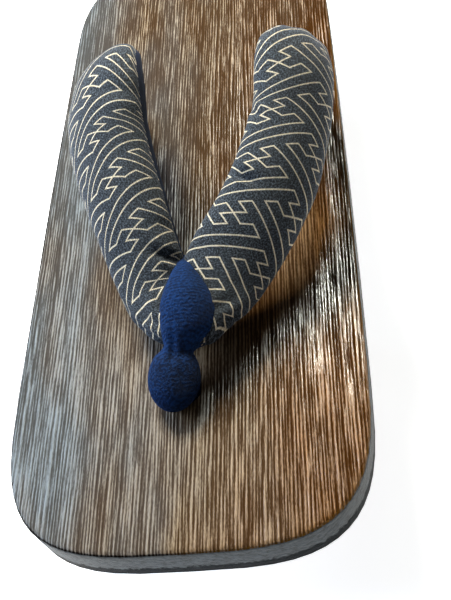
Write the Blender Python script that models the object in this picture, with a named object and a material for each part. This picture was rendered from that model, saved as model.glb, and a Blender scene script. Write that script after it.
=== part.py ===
"""A geta sandal: a wooden footboard on two cross teeth, with a padded two-strap thong held by a toe loop.

Metres, +Z up. The toe points along -Y and the teeth stand on Z = 0.
"Along" is measured from the toe end towards the heel, and "up" from the board's top face.
"""
import math

import bmesh
import bpy
from mathutils import Matrix, Vector

# The board
BOARD_LENGTH = 0.255
BOARD_WIDTH = 0.105
BOARD_THICK = 0.0165
TOE_ROUND_LENGTH = 0.052
TOE_ROUND_POWER = 3.5
HEEL_ROUND_LENGTH = 0.048
HEEL_ROUND_POWER = 2.6
TOP_EDGE_ROUND = 0.0016
UNDER_EDGE_CHAMFER = 0.0020
ROUND_STEPS = 14
SIDE_STEPS = 6

# The two teeth, each let into a groove of the board
TOOTH_HEIGHT = 0.033
TOOTH_THICK = 0.023
TOOTH_TAPER = 0.003
TOOTH_SET_IN = 0.0025
TOOTH_EDGE_ROUND = 0.0014
FRONT_TOOTH_ALONG = 0.077
REAR_TOOTH_ALONG = 0.184
GROOVE_DEPTH = 0.003

# The holes that the thong passes through
FRONT_HOLE_ALONG = 0.0485
FRONT_HOLE_DIAMETER = 0.0095
REAR_HOLE_ALONG = 0.158
REAR_HOLE_OUT = 0.032
REAR_HOLE_DIAMETER = 0.010
HOLE_PLAY = 0.0007
HOLE_SIDES = 32

# The thong
THONG_FRONT_ALONG = 0.0590
ARCH_HEIGHT = 0.036
STRAP_WIDTH = 0.027
STRAP_THICK = 0.017
THONG_LEAN = 0.26
TAIL_ROUND_UP = 0.0017
TAIL_TILT = 60
STRAP_SIDES = 20
RINGS_PER_ROW = 4

# The toe loop: a foot in the front hole, a plump lobe on the board, and a band pinched in where it is tied
LOBE_WIDTH = 0.0154
LOBE_LENGTH = 0.0194
LOBE_HEIGHT = 0.0122
LOBE_RISE = 25
LOBE_TURN = -10
LOBE_ASIDE = 0.0016
FOOT_INTO_LOBE = 0.0040
FOOT_TOP_DIAMETER = 0.0040
BAND_WIDTH = 0.016
BAND_HEIGHT = 0.0225
BAND_FRONT_ALONG = 0.0510
BAND_BACK_ALONG = 0.0860
BAND_SIDES = 24
BAND_SQUARENESS = 2.4

# The cords and knots under the board
CORD_DIAMETER = 0.0045
CORD_SIDES = 12
KNOT_WIDTH = 0.015
KNOT_LENGTH = 0.012
KNOT_DEPTH = 0.0085
KNOT_SIDES = 20
TAIL_ROOT = 0.003
TAIL_REACH = 0.015
TAIL_DROP = 0.00225
BEND_STEPS = 5
STRAIGHT_STEPS = 3

# Soft and curved pieces keep this distance from their neighbours
CLEARANCE = 0.0003

# A cutter runs this far past the faces that it cuts
CUTTER_REACH = 0.008

# An edge that turns by more than this, in degrees, is shaded sharp
SHARP_ANGLE = 35

BOARD_TOP = TOOTH_HEIGHT + BOARD_THICK

# Board width: place as a share of the length, width as a share of the full width
BOARD_TAPER = [
    {"place": 0.00, "width": 1.000},
    {"place": 0.24, "width": 1.000},
    {"place": 0.51, "width": 0.980},
    {"place": 0.82, "width": 0.940},
    {"place": 1.00, "width": 0.915},
]

# A strap from the join to its rear hole. "back" is a share of the way from the join to the rear hole, "up" of
# the arch height and "thick" of the strap's thickness. "tilt" lifts the inner edge, in degrees.
STRAP_ROWS = [
    {"back": 0.000, "up": 0.29, "thick": 0.35, "tilt": 0},
    {"back": 0.026, "up": 0.31, "thick": 0.62, "tilt": 0},
    {"back": 0.086, "up": 0.33, "thick": 0.74, "tilt": 4},
    {"back": 0.172, "up": 0.39, "thick": 0.77, "tilt": 10},
    {"back": 0.384, "up": 0.68, "thick": 0.88, "tilt": 20},
    {"back": 0.606, "up": 0.89, "thick": 1.00, "tilt": 30},
    {"back": 0.788, "up": 1.02, "thick": 1.00, "tilt": 40},
    {"back": 0.909, "up": 0.76, "thick": 0.88, "tilt": 50},
    {"back": 0.985, "up": 0.33, "thick": 0.70, "tilt": 55},
]

# The stuffed straps aren't alike. For each of the rows above, and for the left (-1) and right (1) strap, "out" is
# a share of the rear hole's distance from the middle, and "width" a share of the strap's width.
STRAP_REACH = {
    -1: [
        {"out": 0.03, "width": 0.22},
        {"out": 0.08, "width": 0.47},
        {"out": 0.18, "width": 0.69},
        {"out": 0.32, "width": 0.82},
        {"out": 0.61, "width": 0.97},
        {"out": 0.84, "width": 1.11},
        {"out": 0.91, "width": 1.18},
        {"out": 0.93, "width": 0.90},
        {"out": 0.98, "width": 0.64},
    ],
    1: [
        {"out": 0.03, "width": 0.23},
        {"out": 0.09, "width": 0.49},
        {"out": 0.17, "width": 0.73},
        {"out": 0.30, "width": 0.93},
        {"out": 0.72, "width": 0.97},
        {"out": 0.92, "width": 0.90},
        {"out": 0.95, "width": 0.94},
        {"out": 1.01, "width": 0.72},
        {"out": 1.02, "width": 0.56},
    ],
}

# The band of the toe loop over the join. "back" is a share of the way from its front to its rear end, "up" and
# "high" are shares of the band's height, and "wide" is a share of its width. "lean" is the share of the thong's
# lean that it takes up, and "lie" is how far the section stands, in degrees.
BAND_ROWS = [
    {"back": 0.00, "up": 0.38, "wide": 0.40, "high": 0.34, "lean": -0.8, "lie": 66},
    {"back": 0.14, "up": 0.48, "wide": 0.56, "high": 0.44, "lean": 0.3, "lie": 74},
    {"back": 0.25, "up": 0.51, "wide": 0.96, "high": 0.70, "lean": 1.1, "lie": 84},
    {"back": 0.46, "up": 0.55, "wide": 1.06, "high": 0.92, "lean": 1.2, "lie": 90},
    {"back": 0.70, "up": 0.54, "wide": 0.70, "high": 0.88, "lean": 1.1, "lie": 92},
    {"back": 0.88, "up": 0.48, "wide": 0.45, "high": 0.68, "lean": 1.0, "lie": 96},
    {"back": 0.97, "up": 0.44, "wide": 0.30, "high": 0.46, "lean": 1.0, "lie": 98},
    {"back": 1.00, "up": 0.43, "wide": 0.18, "high": 0.24, "lean": 1.0, "lie": 100},
]

COLOURS = {
    "brushed_wood": ((0.085, 0.050, 0.028), 0.5),
    "tooth_wood": ((0.110, 0.065, 0.036), 0.6),
    "thong_cloth": ((0.018, 0.022, 0.032), 0.9),
    "loop_velvet": ((0.008, 0.020, 0.070), 0.95),
    "tie_cord": ((0.030, 0.032, 0.040), 0.9),
}


def clear_scene():
    for old in list(bpy.data.objects):
        bpy.data.objects.remove(old, do_unlink=True)


def material(name):
    colour, roughness = COLOURS[name]
    made = bpy.data.materials.new(name)
    made.use_nodes = True
    shader = made.node_tree.nodes["Principled BSDF"]
    shader.inputs["Base Color"].default_value = (*colour, 1.0)
    shader.inputs["Roughness"].default_value = roughness
    shader.inputs["Metallic"].default_value = 0.0
    return made


def point(out, along, up):
    """A place given from the middle line, the toe end and the board's top face."""
    return Vector((out, along - BOARD_LENGTH / 2, BOARD_TOP + up))


def add_object(name, mesh_builder, finish=None):
    """Turns a bmesh into an object. Without a finish it is a cutter, which isn't rendered."""
    bmesh.ops.recalc_face_normals(mesh_builder, faces=mesh_builder.faces[:])
    mesh = bpy.data.meshes.new(name)
    mesh_builder.to_mesh(mesh)
    mesh_builder.free()
    made = bpy.data.objects.new(name, mesh)
    bpy.context.scene.collection.objects.link(made)
    if finish:
        mesh.materials.append(finish)
        mesh.shade_smooth()
        mesh.set_sharp_from_angle(angle=math.radians(SHARP_ANGLE))
    else:
        made.hide_render = True
        made.display_type = "WIRE"
    return made


def combine(target, tool, operation):
    step = target.modifiers.new(f"{operation.lower()}_{tool.name}", "BOOLEAN")
    step.object = tool
    step.operation = operation
    step.solver = "EXACT"


def eased(rows, knots, place, column):
    """Reads one column between the rows along a smooth curve that passes through every row."""
    last = len(rows) - 1
    i = max(k for k in range(last) if knots[k] <= place or k == 0)
    step = knots[i + 1] - knots[i]
    share = (place - knots[i]) / step

    def slope(k):
        low, high = max(k - 1, 0), min(k + 1, last)
        return (rows[high][column] - rows[low][column]) / (knots[high] - knots[low]) * step

    start, end = rows[i][column], rows[i + 1][column]
    a = 2 * start - 2 * end + slope(i) + slope(i + 1)
    b = -3 * start + 3 * end - 2 * slope(i) - slope(i + 1)
    return ((a * share + b) * share + slope(i)) * share + start


def ring(builder, centre, across, upward, width, height, sides, power=2.0):
    """A closed loop of edges on a superellipse, with its width along across and its height along upward."""
    corners = []
    for i in range(sides):
        turn = 2 * math.pi * i / sides
        c, s = math.cos(turn), math.sin(turn)
        x = math.copysign(abs(c) ** (2 / power), c) * width / 2
        y = math.copysign(abs(s) ** (2 / power), s) * height / 2
        corners.append(builder.verts.new(centre + across * x + upward * y))
    return [builder.edges.new((corners[i], corners[(i + 1) % sides])) for i in range(sides)]


def loft(sections, sides, power=2.0):
    """Skins the sections in order and caps both ends. Each one is centre, across, upward, width and height."""
    builder = bmesh.new()
    rings = [ring(builder, *section, sides, power) for section in sections]
    for first, second in zip(rings[:-1], rings[1:]):
        bmesh.ops.bridge_loops(builder, edges=first + second)
    for end in (rings[0], rings[-1]):
        bmesh.ops.contextual_create(builder, geom=end)
    return builder


def board_half_width(along):
    knots = [row["place"] for row in BOARD_TAPER]
    return eased(BOARD_TAPER, knots, along / BOARD_LENGTH, "width") * BOARD_WIDTH / 2


def board_outline():
    """The right-hand edge from toe to heel as (out, along), with both ends rounded as superellipses."""
    edge = []
    for i in range(1, ROUND_STEPS + 1):
        turn = math.pi / 2 * i / ROUND_STEPS
        along = TOE_ROUND_LENGTH * (1 - math.cos(turn) ** (2 / TOE_ROUND_POWER))
        share = math.sin(turn) ** (2 / TOE_ROUND_POWER)
        edge.append((share * board_half_width(along), along))
    straight = BOARD_LENGTH - TOE_ROUND_LENGTH - HEEL_ROUND_LENGTH
    for i in range(1, SIDE_STEPS):
        along = TOE_ROUND_LENGTH + straight * i / SIDE_STEPS
        edge.append((board_half_width(along), along))
    for i in range(ROUND_STEPS, 0, -1):
        turn = math.pi / 2 * i / ROUND_STEPS
        along = BOARD_LENGTH - HEEL_ROUND_LENGTH * (1 - math.cos(turn) ** (2 / HEEL_ROUND_POWER))
        share = math.sin(turn) ** (2 / HEEL_ROUND_POWER)
        edge.append((share * board_half_width(along), along))
    return edge


def cylinder_cutter(name, out, along, diameter):
    builder = bmesh.new()
    bmesh.ops.create_cone(
        builder, cap_ends=True, segments=HOLE_SIDES, radius1=diameter / 2, radius2=diameter / 2,
        depth=BOARD_THICK + 2 * CUTTER_REACH, matrix=Matrix.Translation(point(out, along, -BOARD_THICK / 2)))
    return add_object(name, builder)


def tooth_span(along):
    return 2 * (board_half_width(along) - TOOTH_SET_IN)


def groove_cutter(name, along):
    builder = bmesh.new()
    size = (BOARD_WIDTH + 2 * CUTTER_REACH, TOOTH_THICK + 2 * CLEARANCE, 2 * GROOVE_DEPTH)
    place = Matrix.Translation(point(0, along, -BOARD_THICK))
    bmesh.ops.create_cube(builder, size=1.0, matrix=place @ Matrix.Diagonal((*size, 1.0)))
    return add_object(name, builder)


def build_board(finish):
    builder = bmesh.new()
    edge = board_outline()
    corners = [(0.0, 0.0)] + edge + [(0.0, BOARD_LENGTH)] + [(-out, along) for out, along in reversed(edge)]
    bottom = builder.faces.new([builder.verts.new(point(out, along, -BOARD_THICK)) for out, along in corners])
    raised = bmesh.ops.extrude_face_region(builder, geom=[bottom])["geom"]
    top_verts = [item for item in raised if isinstance(item, bmesh.types.BMVert)]
    bmesh.ops.translate(builder, verts=top_verts, vec=(0, 0, BOARD_THICK))
    top_edges = [item for item in raised if isinstance(item, bmesh.types.BMEdge)]
    bottom_edges = [e for e in builder.edges if all(abs(v.co.z - TOOTH_HEIGHT) < CLEARANCE for v in e.verts)]
    bmesh.ops.bevel(
        builder, geom=top_edges, offset=TOP_EDGE_ROUND, segments=3, profile=0.5, affect="EDGES", material=-1)
    bmesh.ops.bevel(
        builder, geom=bottom_edges, offset=UNDER_EDGE_CHAMFER, segments=1, profile=0.5, affect="EDGES", material=-1)
    board = add_object("dai", builder, finish)
    combine(board, cylinder_cutter("front_hole", 0, FRONT_HOLE_ALONG, FRONT_HOLE_DIAMETER), "DIFFERENCE")
    for side, label in ((-1, "left"), (1, "right")):
        hole = cylinder_cutter(f"rear_hole_{label}", side * REAR_HOLE_OUT, REAR_HOLE_ALONG, REAR_HOLE_DIAMETER)
        combine(board, hole, "DIFFERENCE")
    combine(board, groove_cutter("front_groove", FRONT_TOOTH_ALONG), "DIFFERENCE")
    combine(board, groove_cutter("rear_groove", REAR_TOOTH_ALONG), "DIFFERENCE")
    return board


def build_tooth(name, along, finish):
    """A cross plank that fills its groove and narrows a little towards the ground."""
    builder = bmesh.new()
    height = TOOTH_HEIGHT + GROOVE_DEPTH - CLEARANCE
    size = (tooth_span(along), TOOTH_THICK, height)
    centre = Matrix.Translation((0, along - BOARD_LENGTH / 2, height / 2))
    bmesh.ops.create_cube(builder, size=1.0, matrix=centre @ Matrix.Diagonal((*size, 1.0)))
    foot = [v for v in builder.verts if v.co.z < height / 2]
    narrow = Matrix.Diagonal((1.0, (TOOTH_THICK - TOOTH_TAPER) / TOOTH_THICK, 1.0, 1.0))
    bmesh.ops.transform(builder, verts=foot, matrix=narrow, space=Matrix.Translation(-centre.translation))
    outer = [e for e in builder.edges if min(v.co.z for v in e.verts) < height / 2]
    bmesh.ops.bevel(
        builder, geom=outer, offset=TOOTH_EDGE_ROUND, segments=2, profile=0.5, affect="EDGES", material=-1)
    return add_object(name, builder, finish)


def strap_sections(side, swell=0.0):
    """Sections of one strap from the join to the end of its tail in the rear hole."""
    rear = REAR_HOLE_ALONG - THONG_FRONT_ALONG
    rows = []
    for row, reach in zip(STRAP_ROWS, STRAP_REACH[side]):
        rows.append({
            "out": reach["out"] * REAR_HOLE_OUT,
            "along": THONG_FRONT_ALONG + row["back"] * rear,
            "up": row["up"] * ARCH_HEIGHT,
            "width": reach["width"] * STRAP_WIDTH,
            "thick": row["thick"] * STRAP_THICK,
            "tilt": row["tilt"],
        })
    tail = REAR_HOLE_DIAMETER - 2 * HOLE_PLAY
    for up in (TAIL_ROUND_UP, -BOARD_THICK / 2, CLEARANCE - BOARD_THICK):
        rows.append({
            "out": REAR_HOLE_OUT, "along": REAR_HOLE_ALONG, "up": up,
            "width": tail, "thick": tail, "tilt": TAIL_TILT})

    def centre(row):
        lean = THONG_LEAN * max(row["up"], 0.0)
        return point(side * row["out"] + lean, row["along"], row["up"])

    knots = [0.0]
    for first, second in zip(rows[:-1], rows[1:]):
        knots.append(knots[-1] + (centre(second) - centre(first)).length)
    stations = []
    for start, end in zip(knots[:-1], knots[1:]):
        stations += [start + (end - start) * i / RINGS_PER_ROW for i in range(RINGS_PER_ROW)]
    stations.append(knots[-1])
    read = [{column: eased(rows, knots, place, column) for column in rows[0]} for place in stations]
    centres = [centre(row) for row in read]
    sections = []
    for i, row in enumerate(read):
        run = (centres[min(i + 1, len(read) - 1)] - centres[max(i - 1, 0)]).normalized()
        tilt = math.radians(row["tilt"])
        across = Vector((-side * math.cos(tilt), 0, math.sin(tilt)))
        across = (across - run * across.dot(run)).normalized()
        upward = run.cross(across).normalized()
        sections.append((centres[i], across, upward, row["width"] + 2 * swell, row["thick"] + 2 * swell))
    return sections


def build_thong(name, finish=None, swell=0.0):
    left = add_object(name, loft(strap_sections(-1, swell), STRAP_SIDES), finish)
    right = add_object(f"{name}_right_strap", loft(strap_sections(1, swell), STRAP_SIDES))
    combine(left, right, "UNION")
    return left


def band_section(knots, place):
    """One section of the toe loop's band. At lie 90 it stands straight across the board."""
    read = {column: eased(BAND_ROWS, knots, place, column) for column in BAND_ROWS[0]}
    lie = math.radians(read["lie"])
    up = read["up"] * BAND_HEIGHT
    along = BAND_FRONT_ALONG + place * (BAND_BACK_ALONG - BAND_FRONT_ALONG)
    upward = Vector((0, -math.cos(lie), math.sin(lie)))
    centre = point(THONG_LEAN * up * read["lean"], along, up)
    return centre, Vector((1, 0, 0)), upward, read["wide"] * BAND_WIDTH, read["high"] * BAND_HEIGHT


def band_sections():
    knots = [row["back"] for row in BAND_ROWS]
    sections = []
    for start, end in zip(knots[:-1], knots[1:]):
        sections += [band_section(knots, start + (end - start) * i / RINGS_PER_ROW) for i in range(RINGS_PER_ROW)]
    return sections + [band_section(knots, knots[-1])]


def lobe_body(name):
    """The plump lower lobe, an egg that leans back towards the join and just clears the board."""
    builder = bmesh.new()
    rise = math.radians(LOBE_RISE)
    half_rise = math.hypot(LOBE_LENGTH / 2 * math.sin(rise), LOBE_HEIGHT / 2 * math.cos(rise))
    centre = point(-LOBE_ASIDE, FRONT_HOLE_ALONG, half_rise + CLEARANCE)
    size = Matrix.Diagonal((LOBE_WIDTH, LOBE_LENGTH, LOBE_HEIGHT, 1.0))
    turn = Matrix.Rotation(math.radians(LOBE_TURN), 4, "Z") @ Matrix.Rotation(rise, 4, "X")
    bmesh.ops.create_uvsphere(
        builder, u_segments=BAND_SIDES, v_segments=16, radius=0.5,
        matrix=Matrix.Translation(centre) @ turn @ size)
    return add_object(name, builder)


def foot_body(name):
    """The loop's foot, which fills the front hole and narrows above the board, up into the lobe."""
    foot = FRONT_HOLE_DIAMETER - 2 * HOLE_PLAY
    places = [(CLEARANCE - BOARD_THICK, foot), (-TOP_EDGE_ROUND, foot), (FOOT_INTO_LOBE, FOOT_TOP_DIAMETER)]
    sections = []
    for up, width in places:
        sections.append((point(0, FRONT_HOLE_ALONG, up), Vector((1, 0, 0)), Vector((0, 1, 0)), width, width))
    return add_object(name, loft(sections, BAND_SIDES))


def build_toe_loop(finish):
    loop = add_object("maetsubo", loft(band_sections(), BAND_SIDES, BAND_SQUARENESS), finish)
    combine(loop, lobe_body("loop_lobe"), "UNION")
    combine(loop, foot_body("loop_foot"), "UNION")
    combine(loop, build_thong("thong_room", swell=CLEARANCE), "DIFFERENCE")
    return loop


def tube(path):
    """A cord along a list of places, with its sections square to its run."""
    sections = []
    for i, place in enumerate(path):
        run = (path[min(i + 1, len(path) - 1)] - path[max(i - 1, 0)]).normalized()
        across = run.orthogonal().normalized() if i == 0 else across
        across = (across - run * across.dot(run)).normalized()
        sections.append((place, across, run.cross(across), CORD_DIAMETER, CORD_DIAMETER))
    return loft(sections, CORD_SIDES)


def knot_body(name, centre, finish=None):
    """A tight overhand knot, simplified to a flattened ball."""
    builder = bmesh.new()
    size = Matrix.Diagonal((KNOT_WIDTH, KNOT_LENGTH, KNOT_DEPTH, 1.0))
    bmesh.ops.create_uvsphere(
        builder, u_segments=KNOT_SIDES, v_segments=CORD_SIDES, radius=0.5,
        matrix=Matrix.Translation(centre) @ size)
    return add_object(name, builder, finish)


def knot_tails(name, centre):
    """The two cut ends of the cord, which spread from the knot's sides and droop a little."""
    tails = []
    for side, label in ((-1, "left"), (1, "right")):
        path = []
        for i in range(STRAIGHT_STEPS + 1):
            share = i / STRAIGHT_STEPS
            out = TAIL_ROOT + (TAIL_REACH - TAIL_ROOT) * share
            path.append(centre + Vector((side * out, 0, -TAIL_DROP * share ** 2)))
        tails.append(add_object(f"{name}_{label}", tube(path)))
    return tails


def build_front_knot(finish):
    centre = point(0, FRONT_HOLE_ALONG, -BOARD_THICK - CLEARANCE - KNOT_DEPTH / 2)
    knot = knot_body("front_knot", centre, finish)
    for tail in knot_tails("front_tail", centre):
        combine(knot, tail, "UNION")
    return knot


def build_rear_ties(finish):
    """The cord that leaves both rear holes and is knotted in the middle, close under the board."""
    bend = CORD_DIAMETER / 2 + CLEARANCE
    under = -BOARD_THICK - CLEARANCE
    half = []
    for i in range(BEND_STEPS + 1):
        turn = math.pi / 2 * i / BEND_STEPS
        out = REAR_HOLE_OUT - bend * (1 - math.cos(turn))
        half.append(point(out, REAR_HOLE_ALONG, under - bend * math.sin(turn)))
    for i in range(1, STRAIGHT_STEPS):
        share = 1 - i / STRAIGHT_STEPS
        half.append(point(REAR_HOLE_OUT * share, REAR_HOLE_ALONG, under - bend))
    path = half + [Vector((-p.x, p.y, p.z)) for p in reversed(half)]
    cord = add_object("rear_ties", tube(path), finish)
    centre = point(0, REAR_HOLE_ALONG, -BOARD_THICK - CLEARANCE - KNOT_DEPTH / 2)
    combine(cord, knot_body("rear_knot", centre), "UNION")
    for tail in knot_tails("rear_tail", centre - Vector((0, 0, CORD_DIAMETER / 3))):
        combine(cord, tail, "UNION")
    return cord


def main():
    clear_scene()
    finishes = {name: material(name) for name in COLOURS}
    build_board(finishes["brushed_wood"])
    build_tooth("front_tooth", FRONT_TOOTH_ALONG, finishes["tooth_wood"])
    build_tooth("rear_tooth", REAR_TOOTH_ALONG, finishes["tooth_wood"])
    build_thong("hanao", finishes["thong_cloth"])
    build_toe_loop(finishes["loop_velvet"])
    build_front_knot(finishes["tie_cord"])
    build_rear_ties(finishes["tie_cord"])


main()
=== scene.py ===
# %% [markdown]
# # A geta sandal
# A geta is a wooden footboard that stands on two cross teeth. A padded thong, the hanao, grips the foot.
# The solids come from the frame at their real size. This lesson gives them their looks: brushed wood with
# raised grain, a stuffed cotton thong with a woven fret pattern, and a velvet toe loop.
# Everything is in metres. The toe points along -Y, and the teeth stand on Z = 0.

# %% Load the frame
import math

import bmesh
import bpy
from mathutils import Matrix, Vector, noise


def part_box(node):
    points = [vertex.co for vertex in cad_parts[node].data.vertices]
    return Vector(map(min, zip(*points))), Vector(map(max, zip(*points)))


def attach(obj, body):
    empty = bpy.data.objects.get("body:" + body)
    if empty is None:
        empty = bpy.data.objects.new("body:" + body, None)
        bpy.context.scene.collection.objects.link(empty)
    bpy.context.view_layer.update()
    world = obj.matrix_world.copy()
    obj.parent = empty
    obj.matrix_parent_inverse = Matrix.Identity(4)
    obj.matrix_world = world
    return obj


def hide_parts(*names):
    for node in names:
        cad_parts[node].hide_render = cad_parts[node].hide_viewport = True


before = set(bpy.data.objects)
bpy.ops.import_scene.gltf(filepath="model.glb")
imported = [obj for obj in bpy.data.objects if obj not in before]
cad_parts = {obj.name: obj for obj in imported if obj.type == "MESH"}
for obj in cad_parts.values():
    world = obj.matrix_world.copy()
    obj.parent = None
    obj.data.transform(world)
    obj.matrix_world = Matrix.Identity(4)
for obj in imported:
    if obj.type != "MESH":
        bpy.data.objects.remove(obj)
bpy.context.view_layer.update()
MM = 0.001
BOARD_LOW, BOARD_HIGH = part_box("dai")
BOARD_TOP = BOARD_HIGH.z
BOARD_THICK = BOARD_HIGH.z - BOARD_LOW.z
BOARD_LENGTH = BOARD_HIGH.y - BOARD_LOW.y
BOARD_WIDTH = BOARD_HIGH.x - BOARD_LOW.x
print("board", [round(v / MM, 1) for v in (BOARD_WIDTH, BOARD_LENGTH, BOARD_THICK)], "mm")

# %% [markdown]
# Colours are easiest to match by eye as sRGB hex values, but a shader works with linear light, so one
# function converts them. Another adds a shader node with its settings and links in a single call. The
# small ones after it name the steps that every material here takes, so each material below reads like
# a recipe.


# %% Helpers for materials
def linear(hex_code):
    """An sRGB colour such as "#8a5a20" as the linear red, green, blue and alpha of a shader."""
    shares = [int(hex_code[i:i + 2], 16) / 255 for i in (1, 3, 5)]
    return tuple(v / 12.92 if v <= 0.04045 else ((v + 0.055) / 1.055) ** 2.4 for v in shares) + (1.0,)


def add_node(tree, kind, inputs, **settings):
    """Adds a node. Each input is a constant or another node's output."""
    made = tree.nodes.new(f"ShaderNode{kind}")
    for name, value in settings.items():
        setattr(made, name, value)
    for name, value in inputs.items():
        if isinstance(value, bpy.types.NodeSocket):
            tree.links.new(value, made.inputs[name])
        else:
            made.inputs[name].default_value = value
    return made.outputs[2] if kind == "Mix" and made.data_type == "RGBA" else made.outputs[0]


def new_material(name, roughness, **sockets):
    """A Principled material whose constant values sit on the shader's own sockets."""
    made = bpy.data.materials.new(name)
    made.use_nodes = True
    shader = made.node_tree.nodes["Principled BSDF"]
    shader.inputs["Roughness"].default_value = roughness
    for socket, value in sockets.items():
        shader.inputs[socket.replace("_", " ")].default_value = value
    return made, made.node_tree, shader


def maths(tree, operation, *values, **settings):
    return add_node(tree, "Math", dict(enumerate(values)), operation=operation, **settings)


def rescale(tree, value, low, high, bottom=0.0, top=1.0, **settings):
    """Turns low into bottom and high into top, and holds both ends."""
    ends = {"From Min": low, "From Max": high, "To Min": bottom, "To Max": top}
    return add_node(tree, "MapRange", {"Value": value, **ends}, **settings)


def blend(tree, share, first, second):
    """Mixes two colours, each a hex code or another node's output."""
    first, second = [linear(colour) if isinstance(colour, str) else colour for colour in (first, second)]
    return add_node(tree, "Mix", {MIX_FACTOR: share, MIX_A: first, MIX_B: second}, data_type="RGBA")


def ramp(tree, value, rows, column):
    """Reads a colour from one column of a table whose rows stand in order of "at"."""
    made = tree.nodes.new("ShaderNodeValToRGB")
    stops = made.color_ramp.elements
    for stop, row in ((stops[0], rows[0]), (stops[1], rows[-1])):
        stop.position = row["at"]
        stop.color = linear(row[column])
    for row in rows[1:-1]:
        stops.new(row["at"]).color = linear(row[column])
    tree.links.new(value, made.inputs[0])
    return made.outputs[0]


def noise_at(tree, place, size, detail=2.0, **inputs):
    return add_node(tree, "TexNoise", {"Vector": place, "Scale": 1 / size, "Detail": detail, **inputs})


def split(tree, place):
    axes = tree.nodes.new("ShaderNodeSeparateXYZ")
    tree.links.new(place, axes.inputs[0])
    return axes.outputs


def object_place(tree):
    """The place on the object, and its X, Y and Z apart."""
    place = tree.nodes.new("ShaderNodeTexCoord").outputs["Object"]
    return place, split(tree, place)


def wear(tree, shader, **sockets):
    """Links each output to the shader's socket of the same name."""
    for socket, output in sockets.items():
        tree.links.new(output, shader.inputs[socket.replace("_", " ")])


MIX_FACTOR = 0
MIX_A = 6
MIX_B = 7
print("a mid grey is", [round(v, 3) for v in linear("#808080")[:3]], "in linear light")

# %% [markdown]
# A finished piece is an object at the origin whose mesh holds its place, like the frame's own solids.
# This helper turns a bmesh into such a piece and shades it smooth. A second one hides the frame's
# solids that the piece stands for and hangs the piece on the body that carries it.


# %% Turn a bmesh into a piece
SMOOTH_ANGLE = math.radians(40)


def make_object(name, builder, *materials):
    mesh = bpy.data.meshes.new(name)
    builder.to_mesh(mesh)
    builder.free()
    for finish in materials:
        mesh.materials.append(finish)
    mesh.shade_smooth()
    mesh.set_sharp_from_angle(angle=SMOOTH_ANGLE)
    made = bpy.data.objects.new(name, mesh)
    bpy.context.scene.collection.objects.link(made)
    return made


def hand_over(piece, slot, *nodes):
    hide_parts(*nodes)
    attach(piece, "root")
    print(piece.name, "stands for", ", ".join(nodes), "with", len(piece.data.polygons), "faces")


def apply_modifiers(piece):
    """Bakes what the modifiers make into the piece's own mesh."""
    graph = bpy.context.evaluated_depsgraph_get()
    made = bpy.data.meshes.new_from_object(piece.evaluated_get(graph))
    old = piece.data
    piece.modifiers.clear()
    piece.data = made
    bpy.data.meshes.remove(old)


# %% [markdown]
# The camera looks down over the toe from the right, close to the sandal, so the toe end looks broad and
# the heel runs off the picture's upper edge. Its place, turns and lens come from a least-squares fit of
# the board's outline to the picture's.

# %% Camera
CAMERA_PLACE = (0.0607, -0.2052, 0.2774)
CAMERA_PITCH = math.radians(54.36)
CAMERA_YAW = math.radians(-17.53)
CAMERA_ROLL = math.radians(20.67)
LENS = 55.2


def camera_turn():
    """The turn of a camera that looks down by the pitch, aside by the yaw, and is rolled about its view."""
    ahead = Vector((
        math.sin(CAMERA_YAW) * math.cos(CAMERA_PITCH),
        math.cos(CAMERA_YAW) * math.cos(CAMERA_PITCH),
        -math.sin(CAMERA_PITCH)))
    level = Vector((math.cos(CAMERA_YAW), -math.sin(CAMERA_YAW), 0))
    down = ahead.cross(level)
    right = level * math.cos(CAMERA_ROLL) + down * math.sin(CAMERA_ROLL)
    down = down * math.cos(CAMERA_ROLL) - level * math.sin(CAMERA_ROLL)
    return Matrix((right, -down, -ahead)).transposed()


lens = bpy.data.cameras.new("camera")
lens.lens = LENS
lens.sensor_width = 36
lens.clip_start = 0.01
camera = bpy.data.objects.new("camera", lens)
camera.location = CAMERA_PLACE
camera.rotation_euler = camera_turn().to_euler()
bpy.context.scene.collection.objects.link(camera)
bpy.context.scene.camera = camera
distance = (Vector(CAMERA_PLACE) - Vector((0, 0, BOARD_TOP))).length
print("camera", round(distance, 3), "m from the board's middle")

# %% [markdown]
# The floor is one pale sheet that glows a little, like a light table, so it stays white. A pale dome
# closes the room behind it. Only the camera sees the dome, so it lights nothing.

# %% Floor and dome
FLOOR_SIZE = 3.0
FLOOR_GLOW = 0.85
DOME_RADIUS = 3.0
DOME_GLOW = 1.0


def glowing(name, colour, glow):
    """A matt white-glowing material on a ground of the given colour."""
    made, tree, shader = new_material(name, 0.9)
    shader.inputs["Base Color"].default_value = linear(colour)
    shader.inputs["Emission Color"].default_value = linear("#ffffff")
    shader.inputs["Emission Strength"].default_value = glow
    return made


builder = bmesh.new()
bmesh.ops.create_grid(builder, x_segments=1, y_segments=1, size=FLOOR_SIZE / 2)
floor = make_object("floor", builder, glowing("matt_pale_paper", "#f4f4f3", FLOOR_GLOW))

builder = bmesh.new()
bmesh.ops.create_icosphere(builder, subdivisions=4, radius=DOME_RADIUS)
dome = make_object("dome", builder, glowing("pale_backdrop", "#000000", DOME_GLOW))
dome.visible_diffuse = False
dome.visible_glossy = False
dome.visible_shadow = False
print("floor", FLOOR_SIZE, "m square, dome", 2 * DOME_RADIUS, "m wide")

# %% [markdown]
# A key stands high behind the heel on the left, so the thong's shadow falls to the right of the loop. It
# takes no part in reflections. The streak window does nothing else: the board's right half mirrors it
# into the camera, so each ridge of the grain there gets a white streak. A broad cool window on the left
# gives the wood a grey sheen, and a weak light fills the front.

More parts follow.
